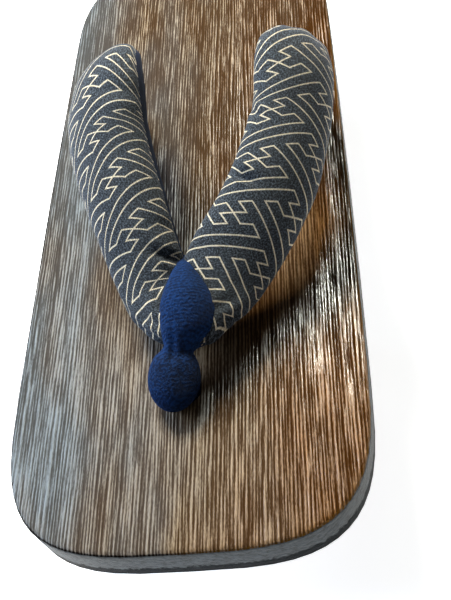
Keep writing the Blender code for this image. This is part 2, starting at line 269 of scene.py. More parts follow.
# %% Lights
LIGHTS = [
    {"name": "key", "place": (-0.20, 0.46, 0.64), "size": 0.26, "watts": 13, "colour": "#fff8ea",
     "diffuse": True, "glossy": False},
    {"name": "streak_window", "place": (0.07, 0.50, 0.70), "size": 0.30, "watts": 26, "colour": "#fbfff4",
     "diffuse": False, "glossy": True},
    {"name": "left_window", "place": (-0.90, 0.10, 0.55), "size": 0.6, "watts": 16, "colour": "#cbdffc",
     "diffuse": True, "glossy": True},
    {"name": "front_fill", "place": (0.40, -1.10, 0.80), "size": 1.0, "watts": 0.8, "colour": "#f7f7ff",
     "diffuse": True, "glossy": True},
]
AIM = Vector((0, -0.02, BOARD_TOP))
ROOM_LIGHT = 0.05

for row in LIGHTS:
    lamp = bpy.data.lights.new(row["name"], "AREA")
    lamp.size = row["size"]
    lamp.energy = row["watts"]
    lamp.color = linear(row["colour"])[:3]
    holder = bpy.data.objects.new(row["name"], lamp)
    holder.location = row["place"]
    holder.visible_diffuse = row["diffuse"]
    holder.visible_glossy = row["glossy"]
    holder.rotation_euler = (AIM - holder.location).to_track_quat("-Z", "Y").to_euler()
    bpy.context.scene.collection.objects.link(holder)

world = bpy.data.worlds.new("soft_room")
world.use_nodes = True
world.node_tree.nodes["Background"].inputs["Color"].default_value = linear("#f2f5fa")
world.node_tree.nodes["Background"].inputs["Strength"].default_value = ROOM_LIGHT
bpy.context.scene.world = world
bpy.context.scene.view_settings.view_transform = "Standard"
print(len(LIGHTS), "lights")

# %% [markdown]
# The board is a straight-grained softwood whose face was brushed with wire. Brushing wears the soft
# spring wood away and leaves the hard rings standing as ridges, about a millimetre apart. The relief
# catches the light, so it is real geometry here: the board's top is cut into narrow strips with
# bisect_plane, and each corner is raised or sunk by a noise that is stretched along the grain.

# %% Cut the board's top into strips
STRIP_WIDTH = 0.24 * MM
STRIP_LENGTH = 3.2 * MM
GRAIN_DEPTH = 0.30 * MM
TOP_ZONE = BOARD_TOP - 2 * MM
TOP_FACING = 0.2


def merged_copy(node_name):
    """A copy of a solid of the frame, with its loose triangles joined and its flat faces made whole."""
    builder = bmesh.new()
    builder.from_mesh(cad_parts[node_name].data)
    bmesh.ops.remove_doubles(builder, verts=builder.verts[:], dist=0.01 * MM)
    bmesh.ops.dissolve_limit(
        builder, angle_limit=math.radians(0.5), verts=builder.verts[:], edges=builder.edges[:])
    return builder


def slice_region(builder, region, axis, low, high, step):
    """Cuts the region's faces with planes square to the axis, one step apart."""
    normal = Vector((0, 0, 0))
    normal[axis] = 1.0
    for i in range(1, int((high - low) / step)):
        cut = bmesh.ops.bisect_plane(
            builder, geom=region, plane_co=normal * (low + i * step), plane_no=normal)
        region = [item for item in cut["geom"] if item.is_valid]
    return region


def faces_with_corners(faces):
    edges = {edge for face in faces for edge in face.edges}
    corners = {vert for face in faces for vert in face.verts}
    return list(faces) + list(edges) + list(corners)


board = merged_copy("dai")
upper = [face for face in board.faces
         if face.normal.z > TOP_FACING and face.calc_center_median().z > TOP_ZONE]
upper = slice_region(board, faces_with_corners(upper), 0, BOARD_LOW.x, BOARD_HIGH.x, STRIP_WIDTH)
upper = slice_region(board, upper, 1, BOARD_LOW.y, BOARD_HIGH.y, STRIP_LENGTH)
print("the board's top has", sum(isinstance(item, bmesh.types.BMFace) for item in upper), "faces")

# %% [markdown]
# Grain isn't quite a regular wave. Its rings lie about a millimetre apart, but they wander a little, run
# together and fade. Noises do this: a slow sideways drift and waver, broad bands, and fine streaks. The
# result, 0 in a groove and 1 on a ridge, is kept as an attribute too, so that the colour can follow the
# relief exactly.


# %% Raise the grain
RING_PITCH = 1.0
RING_SIZE = 0.32
GRAIN_MIDDLE = 0.50
GRAIN_PARTS = {
    "drift": {"size": 0.50, "across": 20, "along": 90, "seed": 3.1},
    "waver": {"size": 0.80, "across": 2.6, "along": 55, "seed": 2.2},
    "fine": {"size": 0.55, "across": 0.40, "along": 10, "seed": 0.0},
    "band": {"size": 0.32, "across": 2.2, "along": 45, "seed": 7.7},
}


def grain_part(name, across, along):
    """One noise of the grain at a place in millimetres."""
    row = GRAIN_PARTS[name]
    return row["size"] * noise.noise((across / row["across"], along / row["along"], row["seed"]))


def grain_height(x, y):
    """How far a ridge stands at a place on the board, from 0 to 1."""
    across, along = x / MM, y / MM
    across += grain_part("drift", across, along)
    rings = math.cos(2 * math.pi * (across + grain_part("waver", across, along)) / RING_PITCH)
    height = GRAIN_MIDDLE + RING_SIZE * rings
    height += grain_part("fine", across, along) + grain_part("band", across, along)
    return min(max(height, 0.0), 1.0)


grain = board.verts.layers.float.new("grain")
for vert in board.verts:
    vert[grain] = grain_height(vert.co.x, vert.co.y)
    facing = max(vert.normal.z, 0.0) if vert.co.z > TOP_ZONE else 0.0
    vert.co.z += (vert[grain] - 1.0) * GRAIN_DEPTH * facing ** 2
print("grain is up to", GRAIN_DEPTH / MM, "mm deep")

# %% [markdown]
# Brushed softwood with a dark stain under a thin lacquer. The stain gathers in the grooves, and the
# ridges have been rubbed back to tan in the middle and to gold on the right. On the left the ridges and
# grooves are a cool grey, which is painted sheen. Towards the heel the wood is darker, which is painted
# shade. The lacquer is glossier on the ridges, in patches. Where the top face turns down, a narrow line is
# dark on the left and golden on the right.


# %% Brushed wood
# Across the board: the cool grey on the left is painted sheen, and the tan and gold are the wood's own
# tones.
WOOD_AND_SHEEN_TONES = [
    {"at": 0.0, "ridge": "#7d868b", "groove": "#494a49"},
    {"at": 0.5, "ridge": "#917c5e", "groove": "#443322"},
    {"at": 1.0, "ridge": "#8c5b16", "groove": "#3a2007"},
]
RIM_TONES = [{"at": 0.45, "rim": "#14100c"}, {"at": 1.0, "rim": "#6b4a1a"}]
RIM_STARTS = 0.35 * MM
RIM_ENDS = 0.60 * MM
WOOD_NOISES = {
    "fibre": {"across": 0.30, "along": 5, "seed": 2, "detail": 4},
    "fleck": {"across": 0.22, "along": 1.1, "seed": 9, "detail": 2},
    "patch": {"across": 3.5, "along": 16, "seed": 4, "detail": 2},
    "cloud": {"across": 16, "along": 60, "seed": 5, "detail": 2},
}
FIBRE_SHARE = 1.1
FLECK_SHARE = 0.7
CLOUD_SHARE = 0.9
PATCH_SHARE = 0.5
HEEL_PAINTED_SHADE = 0.22


def wood_noise(tree, place, name):
    """A noise that is stretched along the board, with its sizes in millimetres."""
    row = WOOD_NOISES[name]
    across, along = row["across"] * MM, row["along"] * MM
    scaled = add_node(tree, "Mapping", {"Vector": place, "Location": (row["seed"], row["seed"], 0),
                                        "Scale": (1 / across, 1 / along, 1 / across)})
    return noise_at(tree, scaled, 1.0, row["detail"])


wood, tree, shader = new_material("brushed_lacquered_softwood", 0.4, Coat_Roughness=0.13)
place, axes = object_place(tree)
fibre, fleck, patch, cloud = [wood_noise(tree, place, name) for name in WOOD_NOISES]
relief = tree.nodes.new("ShaderNodeAttribute")
relief.attribute_name = "grain"

tint = maths(tree, "MULTIPLY_ADD", cloud, CLOUD_SHARE, -CLOUD_SHARE / 2)
side = rescale(tree, axes["X"], BOARD_LOW.x, BOARD_HIGH.x)
side = maths(tree, "ADD", side, tint, use_clamp=True)
streak = maths(tree, "MULTIPLY_ADD", fibre, FIBRE_SHARE, -FIBRE_SHARE / 2)
lit = maths(tree, "ADD", relief.outputs["Fac"], streak)
lit = maths(tree, "MULTIPLY_ADD", fleck, FLECK_SHARE, lit)
# Painted shade: the wood grows darker towards the heel. Random patches of darker stain are added to it.
heel_shade_and_patches = rescale(tree, axes["Y"], -0.2 * BOARD_LENGTH, 0.15 * BOARD_LENGTH, 0.0, HEEL_PAINTED_SHADE)
heel_shade_and_patches = maths(tree, "MULTIPLY_ADD", patch, PATCH_SHARE, heel_shade_and_patches)
lit = rescale(tree, maths(tree, "SUBTRACT", lit, heel_shade_and_patches), 0.32, 1.15, interpolation_type="SMOOTHSTEP")
colour = blend(tree, lit, ramp(tree, side, WOOD_AND_SHEEN_TONES, "groove"), ramp(tree, side, WOOD_AND_SHEEN_TONES, "ridge"))
# Where the top face turns down, a narrow line is dark on the left and golden on the right.
rim = rescale(tree, axes["Z"], BOARD_TOP - RIM_STARTS, BOARD_TOP - RIM_ENDS)
colour = blend(tree, rim, colour, ramp(tree, side, RIM_TONES, "rim"))

gloss = rescale(tree, lit, 0.0, 1.0, 0.7, 0.42)
mirror = maths(tree, "MULTIPLY", lit, rescale(tree, side, 0.0, 1.0, 0.2, 0.55))
coat = maths(tree, "MULTIPLY", lit, rescale(tree, patch, 0.36, 0.52))
coat = maths(tree, "MULTIPLY", coat, rescale(tree, axes["X"], 0.0, 0.7 * BOARD_HIGH.x), use_clamp=True)
height = maths(tree, "MULTIPLY_ADD", fleck, 0.6, fibre)
bump = add_node(tree, "Bump", {"Strength": 0.8, "Distance": 0.14 * MM, "Height": height})
wear(tree, shader, Base_Color=colour, Roughness=gloss, Specular_IOR_Level=mirror, Coat_Weight=coat,
     Normal=bump, Coat_Normal=bump)
print("the wood has", len(tree.nodes), "nodes")

# %% [markdown]
# The board's edge wears a heavier dark lacquer. It is mottled with a grey-green that is painted
# reflection, and the strip nearest to the ground is a dull black with an uneven upper border.

# %% Dark edge of the board
LOWER_STRIP = 7.0 * MM
STRIP_WANDER = 1.6 * MM
STRIP_BORDER = 0.8 * MM

edge_finish, tree, shader = new_material("dark_lacquered_edge", 0.5)
place, axes = object_place(tree)
mottle = rescale(tree, noise_at(tree, place, 1.6 * MM, 4.0, Roughness=0.65), 0.35, 0.65)
uneven = maths(tree, "MULTIPLY_ADD", mottle, STRIP_WANDER, axes["Z"])
strip_top = BOARD_LOW.z + LOWER_STRIP
above = rescale(tree, uneven, strip_top, strip_top + STRIP_BORDER)
# The grey-green above the black strip is painted reflection on the dark lacquer.
colour = blend(tree, above, "#0a1011", blend(tree, mottle, "#0f1516", "#353e40"))
mirror = maths(tree, "MULTIPLY_ADD", above, 0.25, 0.03)
bump = add_node(tree, "Bump", {"Strength": 0.5, "Distance": 0.25 * MM, "Height": mottle})
wear(tree, shader, Base_Color=colour, Specular_IOR_Level=mirror, Normal=bump)
print("the edge's lower", LOWER_STRIP / MM, "mm are black")

# %% [markdown]
# The two teeth are plain planed planks of the same wood, stained but not brushed. They stay as the
# frame's own solids and only get a finish. Their grain runs across the board, and their feet are
# worn a little paler by the ground. The board's underside is planed in the same way, with its grain
# along the board.


# %% Planed wood
PLANED_FINE = 1.1 * MM
PLANED_LONG = 45 * MM
WORN_HEIGHT = 5 * MM
WORN_SHARE = 0.35
FACE_UP = 0.35
BOARD_TOP_SLOT = 0
BOARD_EDGE_SLOT = 1
BOARD_UNDER_SLOT = 2


def planed_wood(name, across, along):
    """Planed, stained softwood. Its grain noise has the given sizes in X and in Y, in metres."""
    finish, tree, shader = new_material(name, 0.55, Coat_Weight=0.1, Coat_Roughness=0.4)
    place, axes = object_place(tree)
    turned = add_node(tree, "Mapping", {"Vector": place, "Scale": (1 / across, 1 / along, 1 / PLANED_FINE)})
    lines = noise_at(tree, turned, 1.0, 3.0)
    worn = rescale(tree, axes["Z"], 0.0, WORN_HEIGHT, WORN_SHARE, 0.0)
    shade = maths(tree, "ADD", lines, worn, use_clamp=True)
    bump = add_node(tree, "Bump", {"Strength": 0.3, "Distance": 0.15 * MM, "Height": lines})
    wear(tree, shader, Base_Color=blend(tree, shade, "#120c08", "#412e1f"), Normal=bump)
    return finish


tooth_finish = planed_wood("planed_tooth_wood", PLANED_LONG, PLANED_FINE)
underside = planed_wood("planed_underside_wood", PLANED_FINE, PLANED_LONG)
for name in ("front_tooth", "rear_tooth"):
    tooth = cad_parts[name].data
    tooth.materials.clear()
    tooth.materials.append(tooth_finish)
for face in board.faces:
    if face.normal.z > FACE_UP:
        face.material_index = BOARD_TOP_SLOT
    elif face.normal.z < -FACE_UP:
        face.material_index = BOARD_UNDER_SLOT
    else:
        face.material_index = BOARD_EDGE_SLOT
board_piece = make_object("board", board, wood, edge_finish, underside)
hand_over(board_piece, "brushed_wood", "dai")

# %% [markdown]
# Each strap of the thong is a tube of cotton around a soft core. It starts narrow at the join, rises
# into an arch over the foot and dives through its rear hole. The sections stand in two short tables, as
# shares of the strap's sizes: one for both straps, and one of each strap's own reach and width. A smooth
# curve reads the values between the rows. "up", "out" and "width" come from a least-squares fit to the
# straps' outlines in the picture, rounded, and the other columns were set one by one.

# %% The strap's sections
FRONT_ALONG = 0.0590
REAR_HOLE_ALONG = 0.158
REAR_HOLE_OUT = 0.032
TAIL_DIAMETER = 0.0086
TAIL_ROUND_UP = 0.0017
TAIL_TILT = 60
ARCH_HEIGHT = 0.036
STRAP_WIDTH = 0.027
STRAP_THICK = 0.017
THONG_LEAN = 0.26
STRAP_ROWS = [
    {"back": 0.000, "up": 0.29, "thick": 0.35, "tilt": 0},
    {"back": 0.026, "up": 0.31, "thick": 0.62, "tilt": 0},
    {"back": 0.086, "up": 0.33, "thick": 0.74, "tilt": 4},
    {"back": 0.172, "up": 0.39, "thick": 0.77, "tilt": 10},
    {"back": 0.384, "up": 0.68, "thick": 0.88, "tilt": 20},
    {"back": 0.606, "up": 0.89, "thick": 1.00, "tilt": 30},
    {"back": 0.788, "up": 1.02, "thick": 1.00, "tilt": 40},
    {"back": 0.909, "up": 0.76, "thick": 0.88, "tilt": 50},
    {"back": 0.985, "up": 0.33, "thick": 0.70, "tilt": 55},
]
STRAP_REACH = {
    -1: [
        {"out": 0.03, "width": 0.22},
        {"out": 0.08, "width": 0.47},
        {"out": 0.18, "width": 0.69},
        {"out": 0.32, "width": 0.82},
        {"out": 0.61, "width": 0.97},
        {"out": 0.84, "width": 1.11},
        {"out": 0.91, "width": 1.18},
        {"out": 0.93, "width": 0.90},
        {"out": 0.98, "width": 0.64},
    ],
    1: [
        {"out": 0.03, "width": 0.23},
        {"out": 0.09, "width": 0.49},
        {"out": 0.17, "width": 0.73},
        {"out": 0.30, "width": 0.93},
        {"out": 0.72, "width": 0.97},
        {"out": 0.92, "width": 0.90},
        {"out": 0.95, "width": 0.94},
        {"out": 1.01, "width": 0.72},
        {"out": 1.02, "width": 0.56},
    ],
}


def point(out, along, up):
    """A place given from the middle line, the toe end and the board's top face."""
    return Vector((out, along - BOARD_LENGTH / 2, BOARD_TOP + up))


def eased(rows, knots, place, column):
    """Reads one column between the rows along a smooth curve that passes through every row."""
    last = len(rows) - 1
    i = max(k for k in range(last) if knots[k] <= place or k == 0)
    step = knots[i + 1] - knots[i]
    share = (place - knots[i]) / step

    def slope(k):
        low, high = max(k - 1, 0), min(k + 1, last)
        return (rows[high][column] - rows[low][column]) / (knots[high] - knots[low]) * step

    start, end = rows[i][column], rows[i + 1][column]
    a = 2 * start - 2 * end + slope(i) + slope(i + 1)
    b = -3 * start + 3 * end - 2 * slope(i) - slope(i + 1)
    return ((a * share + b) * share + slope(i)) * share + start


def strap_rows(side):
    """The tables in metres, with the tail in the rear hole added."""
    rows = [{
        "out": reach["out"] * REAR_HOLE_OUT,
        "along": FRONT_ALONG + row["back"] * (REAR_HOLE_ALONG - FRONT_ALONG),
        "up": row["up"] * ARCH_HEIGHT,
        "width": reach["width"] * STRAP_WIDTH,
        "thick": row["thick"] * STRAP_THICK,
        "tilt": row["tilt"],
    } for row, reach in zip(STRAP_ROWS, STRAP_REACH[side])]
    for up in (TAIL_ROUND_UP, -BOARD_THICK / 2, 0.3 * MM - BOARD_THICK):
        rows.append({"out": REAR_HOLE_OUT, "along": REAR_HOLE_ALONG, "up": up,
                     "width": TAIL_DIAMETER, "thick": TAIL_DIAMETER, "tilt": TAIL_TILT})
    return rows


def strap_centre(side, row):
    return point(side * row["out"] + THONG_LEAN * max(row["up"], 0.0), row["along"], row["up"])


def strap_sections(side, per_row):
    """Each section is its place along the strap, centre, inward and upward directions, width and height."""
    rows = strap_rows(side)
    knots = [0.0]
    for first, second in zip(rows[:-1], rows[1:]):
        knots.append(knots[-1] + (strap_centre(side, second) - strap_centre(side, first)).length)
    stations = []
    for start, end in zip(knots[:-1], knots[1:]):
        stations += [start + (end - start) * i / per_row for i in range(per_row)]
    stations.append(knots[-1])
    read = [{column: eased(rows, knots, place, column) for column in rows[0]} for place in stations]
    centres = [strap_centre(side, row) for row in read]
    sections = []
    for i, row in enumerate(read):
        run = (centres[min(i + 1, len(read) - 1)] - centres[max(i - 1, 0)]).normalized()
        tilt = math.radians(row["tilt"])
        inward = Vector((-side * math.cos(tilt), 0, math.sin(tilt)))
        inward = (inward - run * inward.dot(run)).normalized()
        upward = side * run.cross(inward).normalized()
        sections.append((stations[i], centres[i], inward, upward, row["width"], row["thick"]))
    return sections


print("one strap is", round(strap_sections(1, 4)[-1][0] / MM), "mm long down to the end of its tail")

# %% [markdown]
# The skin is a loft: one ring of vertices for each section, and bridge_loops between the rings. Each
# vertex remembers how far along and how far round the strap it lies, in millimetres. Those two numbers
# become the UV map, so a woven pattern follows the cloth at its true scale, however the strap bends.
# A second map holds the fret's slanting lattice. Its numbers come from a least-squares fit to the fret's
# crosses in the picture, rounded.

# %% Build a strap
STRAP_SIDES = 72
RINGS_PER_ROW = 14
FRET_LAY = {
    -1: {"middle": 36.0, "top": -5.0, "bow": 0.027, "stretch": 0.0022, "start": (4.60, -0.53),
         "along": (-0.300, 0.301), "round": (-0.132, -0.146)},
    1: {"middle": 44.5, "top": -0.5, "bow": 0.010, "stretch": 0.0030, "start": (-1.96, 0.85),
        "along": (0.295, 0.286), "round": (0.178, -0.123)},
}


def fret_place(side, along, around):
    """Where a place on the cloth lies in the fret's slanting lattice, which bows round the strap."""
    lay = FRET_LAY[side]
    run = along - lay["middle"] + lay["bow"] * (around - lay["top"]) ** 2
    run += lay["stretch"] * run ** 2
    return [lay["start"][i] + lay["along"][i] * run + lay["round"][i] * around for i in (0, 1)]


def strap_mesh(side):
    """A strap's skin with layers for the distance along it and the distance round it from its top line."""
    builder = bmesh.new()
    along = builder.verts.layers.float.new("along")
    round_ = builder.verts.layers.float.new("round")
    rings = []
    for place, centre, inward, upward, width, height in strap_sections(side, RINGS_PER_ROW):
        corners = []
        for i in range(STRAP_SIDES):
            turn = 2 * math.pi * i / STRAP_SIDES - math.pi / 2
            offset = inward * math.cos(turn) * width / 2 + upward * math.sin(turn) * height / 2
            corners.append(builder.verts.new(centre + offset))
        top = STRAP_SIDES // 2
        for direction in (1, -1):
            walked = 0.0
            for k in range(STRAP_SIDES // 2 + 1):
                here = corners[(top + direction * k) % STRAP_SIDES]
                if k:
                    walked += (here.co - before.co).length
                here[along], here[round_] = place / MM, direction * walked / MM
                before = here
        rings.append([
            builder.edges.new((corners[i], corners[(i + 1) % STRAP_SIDES])) for i in range(STRAP_SIDES)])
    for first, second in zip(rings[:-1], rings[1:]):
        bmesh.ops.bridge_loops(builder, edges=first + second)
    for end in (rings[0], rings[-1]):
        bmesh.ops.contextual_create(builder, geom=end)
    bmesh.ops.recalc_face_normals(builder, faces=builder.faces[:])
    return builder, along, round_


def write_uv(builder, side, along, round_):
    """Copies the two distances into a UV map. A face that crosses the underside's line keeps one sign."""
    cloth = builder.loops.layers.uv.new("cloth")
    fret = builder.loops.layers.uv.new("fret")
    for face in builder.faces:
        total = sum(vert[round_] for vert in face.verts)
        for loop in face.loops:
            distance = loop.vert[round_]
            if distance * total < 0 and abs(distance) > 8:
                distance = -distance
            loop[cloth].uv = (loop.vert[along], distance)
            loop[fret].uv = fret_place(side, loop.vert[along], distance)


print("a strap has", STRAP_SIDES, "sides")

# %% [markdown]
# Stuffed cloth is never as smooth as its pattern. Where it is drawn in, at the join and at the rear
# hole, it puckers into small pleats that run along the strap. Where the strap bends it creases across.
# The stuffing also leaves slow lumps. The creases are listed: each one has a place along and
# round the strap, a heading, a length, a width and a depth, all in millimetres and degrees.

# %% Creases, puckers and lumps
CREASES = {
    -1: [
        {"along": 25, "round": -9, "heading": 51, "length": 11, "width": 1.4, "depth": 1.6},
        {"along": 34, "round": -12, "heading": 60, "length": 8, "width": 1.5, "depth": 0.7},
        {"along": 78, "round": -12, "heading": 80, "length": 12, "width": 1.8, "depth": 0.8},
    ],
    1: [
        {"along": 49, "round": -9, "heading": 92, "length": 9, "width": 1.2, "depth": 1.7},
        {"along": 69.5, "round": -13, "heading": 120, "length": 8, "width": 1.1, "depth": 1.1},
        {"along": 24, "round": -8, "heading": 110, "length": 8, "width": 1.4, "depth": 0.7},
    ],
}
SHOULDER_SHARE = 0.45
PUCKER_COUNT = 9
PUCKER_DEPTH = 0.5
LUMP_HEIGHT = 0.4
STRAP_VISIBLE = 108
SEAM_HEIGHT_INNER = {-1: -0.05, 1: -0.45}
SEAM_HEIGHT_OUTER = -0.60
SEAM_DEPTH = 0.5
SEAM_WIDTH = 0.12
FREE_HEIGHT = 3 * MM


def above_seam(side, turn_share):
    """How far a place round the strap lies above the seam of its side, as a share of half the thickness."""
    height = -math.cos(2 * math.pi * turn_share)
    inner = math.sin(2 * math.pi * turn_share) > 0
    return height - (SEAM_HEIGHT_INNER[side] if inner else SEAM_HEIGHT_OUTER)


def bell(distance, width):
    return math.exp(-(distance / width) ** 2)


def crease_depth(side, s, t):
    """How far the listed creases press the cloth in, in millimetres, with a small rise beside each."""
    depth = 0.0
    for crease in CREASES[side]:
        heading = math.radians(crease["heading"])
        ahead, aside = s - crease["along"], t - crease["round"]
        on_line = ahead * math.cos(heading) + aside * math.sin(heading)
        off_line = aside * math.cos(heading) - ahead * math.sin(heading)
        fade = bell(on_line, crease["length"] / 2)
        trough = bell(off_line, crease["width"])
        shoulders = bell(abs(off_line) - 2 * crease["width"], crease["width"])
        depth += crease["depth"] * fade * (trough - SHOULDER_SHARE * shoulders)
    return depth


def cloth_offset(side, s, t, turn_share):
    """How far the cloth stands out from the plain loft, in millimetres."""
    near_front = bell(max(s - 4, 0), 12)
    near_tail = bell(max(STRAP_VISIBLE - s, 0), 11)
    wobble = 0.8 * noise.noise((s / 9, side * 3.3, 0.4))
    pleats = math.cos(2 * math.pi * (PUCKER_COUNT * turn_share + wobble))
    lumps = noise.noise((s / 13, t / 11, side * 5.0)) + 0.4 * noise.noise((s / 5, t / 5, side * 9.0))
    seam = SEAM_DEPTH * bell(above_seam(side, turn_share), SEAM_WIDTH)
    return (LUMP_HEIGHT * lumps + PUCKER_DEPTH * (near_front + near_tail) * (pleats - 0.6)
            - crease_depth(side, s, t) - seam)


def drape(builder, side, along, round_):
    """Moves each vertex along its normal, and less near the board and inside the rear hole."""
    builder.normal_update()
    moves = []
    for index, vert in enumerate(builder.verts):
        s, t = vert[along], vert[round_]
        turn_share = (index % STRAP_SIDES) / STRAP_SIDES
        free = min(max((vert.co.z - BOARD_TOP) / FREE_HEIGHT, 0.0), 1.0)
        moves.append(vert.normal * cloth_offset(side, s, t, turn_share) * MM * free)
    for vert, move in zip(builder.verts, moves):
        vert.co += move


print("creases:", {side: len(rows) for side, rows in CREASES.items()})

# %% [markdown]
# The thong's cloth is a closely woven cotton, indigo and black, with a fret called sayagata woven in
# cream. The fret is a lattice of four-armed crosses, each the mirror image of its neighbours, joined by
# long lines. A second UV map holds its slanting coordinates. The shader folds them into one cell, mirrors
# every other cell, turns the four quarters onto one, and measures how far a point is from six strokes.

# %% Fret pattern
CELL = 5.0
STROKE_HALF = 0.066
STITCHES = 7
STROKES = [
    {"x": 0.0, "y": 0.5, "wide": 0.0, "high": 0.5},
    {"x": 0.5, "y": 1.0, "wide": 0.5, "high": 0.0},
    {"x": 1.0, "y": 1.5, "wide": 0.0, "high": 0.5},
    {"x": 0.5, "y": 2.0, "wide": 0.5, "high": 0.0},
    {"x": 2.0, "y": 1.25, "wide": 0.0, "high": 1.25},
    {"x": 0.5, "y": 0.0, "wide": 0.5, "high": 0.0},
]


def fret_distance(tree, axes):
    """The distance to the nearest stroke of the fret, for a place on the cloth, in fret units."""
    local, parity = [], []
    for axis in ("X", "Y"):
        cell = maths(tree, "ROUND", maths(tree, "DIVIDE", axes[axis], CELL))
        local.append(maths(tree, "MULTIPLY_ADD", cell, -CELL, axes[axis]))
        parity.append(cell)
    odd = maths(tree, "PINGPONG", maths(tree, "ADD", *parity), 1.0)
    x = maths(tree, "MULTIPLY", local[0], maths(tree, "MULTIPLY_ADD", odd, -2.0, 1.0))
    turned = maths(tree, "LESS_THAN", maths(tree, "MULTIPLY", x, local[1]), 0.0)
    a, b = maths(tree, "ABSOLUTE", x), maths(tree, "ABSOLUTE", local[1])
    swap = maths(tree, "MULTIPLY", turned, maths(tree, "SUBTRACT", b, a))
    across, up = maths(tree, "ADD", a, swap), maths(tree, "SUBTRACT", b, swap)
    nearest = None
    for stroke in STROKES:
        gap_x = maths(tree, "ABSOLUTE", maths(tree, "SUBTRACT", across, stroke["x"]))
        gap_y = maths(tree, "ABSOLUTE", maths(tree, "SUBTRACT", up, stroke["y"]))
        gap_x = maths(tree, "SUBTRACT", gap_x, stroke["wide"])
        gap_y = maths(tree, "SUBTRACT", gap_y, stroke["high"])
        gap = maths(tree, "MAXIMUM", gap_x, gap_y)
        nearest = gap if nearest is None else maths(tree, "MINIMUM", nearest, gap)
    return nearest


# %% [markdown]
# The cotton's ground is nearly black with pale specks, because light and dark threads cross in it. The
# fret's lines are rows of small stitches, so they swell and fade a little along their way. The lining
# is a plain navy velveteen.

# %% Patterned cotton and lining
THREAD = 0.5
STITCH_SWELL = 0.010
LINE_WAVER = 0.04
LINE_SOFTNESS = 0.02
WAVE_PERIOD = 0.32


def uv_place(tree, name):
    made = tree.nodes.new("ShaderNodeUVMap")
    made.uv_map = name
    return made.outputs[0]


def thong_cotton():
    """Closely woven cotton with a cream fret, whose lines are rows of small stitches."""
    finish, tree, shader = new_material(
        "sayagata_cotton", 0.9, Sheen_Weight=0.22, Sheen_Roughness=0.45, Specular_IOR_Level=0.25)
    shader.inputs["Sheen Tint"].default_value = linear("#9aa6bd")
    cloth = uv_place(tree, "cloth")
    axes = split(tree, uv_place(tree, "fret"))
    stitch = maths(tree, "ADD", axes["X"], axes["Y"])
    stitch = maths(tree, "SINE", maths(tree, "MULTIPLY", stitch, 2 * math.pi * STITCHES))
    waver = add_node(tree, "TexNoise", {"Vector": cloth, "Scale": 1.1, "Detail": 1.0})
    edge = maths(tree, "MULTIPLY_ADD", waver, LINE_WAVER, STROKE_HALF - LINE_WAVER / 2)
    edge = maths(tree, "MULTIPLY_ADD", stitch, STITCH_SWELL, edge)
    distance = maths(tree, "SUBTRACT", fret_distance(tree, axes), edge)
    line = rescale(tree, distance, LINE_SOFTNESS, -LINE_SOFTNESS)

    speck = rescale(tree, noise_at(tree, cloth, THREAD, Roughness=0.7), 0.45, 0.72)
    ground = blend(tree, speck, "#0a0d11", "#5b6670")
    cream = blend(tree, maths(tree, "MULTIPLY_ADD", stitch, 0.3, speck), "#b3a78b", "#fdf4dc")
    warp, weft = [
        add_node(tree, "TexWave", {"Vector": cloth, "Scale": WAVE_PERIOD / THREAD, "Distortion": 0.6},
                 bands_direction=direction) for direction in ("X", "Y")]
    weave = maths(tree, "MULTIPLY_ADD", warp, weft, speck)
    bump = add_node(tree, "Bump", {"Strength": 0.5, "Distance": 0.12 * MM, "Height": weave})
    wear(tree, shader, Base_Color=blend(tree, line, ground, cream), Normal=bump)
    return finish


lining, tree, shader = new_material(
    "navy_velveteen_lining", 0.95, Sheen_Weight=0.08, Sheen_Roughness=0.45, Specular_IOR_Level=0.15)
shader.inputs["Sheen Tint"].default_value = linear("#3f63a8")
pile = noise_at(tree, object_place(tree)[0], 0.6 * MM)
bump = add_node(tree, "Bump", {"Strength": 0.4, "Distance": 0.15 * MM, "Height": pile})
wear(tree, shader, Base_Color=blend(tree, pile, "#040817", "#0d1c39"), Normal=bump)
print("the fret repeats every", CELL, "units")

# %% [markdown]
# The patterned cloth covers the top and the outer side of each strap, and a velveteen strip closes the
# underside. The two meet in seams, which pull in a little. The strip shows in the picture along the
# inner edge of the left strap, where the strap tips over.

# %% The two straps
def line_underside(builder, side):
    """Gives the faces below the seams the lining."""
    for face in builder.faces:
        shares = [(vert.index % STRAP_SIDES) / STRAP_SIDES for vert in face.verts]
        middle = sum(shares) / len(shares) if max(shares) - min(shares) < 0.5 else 0.0
        face.material_index = 1 if above_seam(side, middle) < 0 else 0


cotton = thong_cotton()
straps = []
for side, label in ((-1, "left"), (1, "right")):
    skin, along, round_ = strap_mesh(side)
    skin.verts.index_update()
    drape(skin, side, along, round_)
    write_uv(skin, side, along, round_)
    line_underside(skin, side)
    strap = make_object(f"strap_{label}", skin, cotton, lining)
    hand_over(strap, "thong_cloth", "hanao")
    straps.append(strap)

# %% [markdown]
# The toe loop, the maetsubo, is a soft velvet band. It wraps the join of the two straps, is tied tight
# in front of it, and its end swells into a small lobe before it goes down through the front hole. It is
# lofted like the straps. The lobe is a turned ball whose sizes come from a fit to its outline in the
# picture, rounded, and the foot is a short loft of three rings.

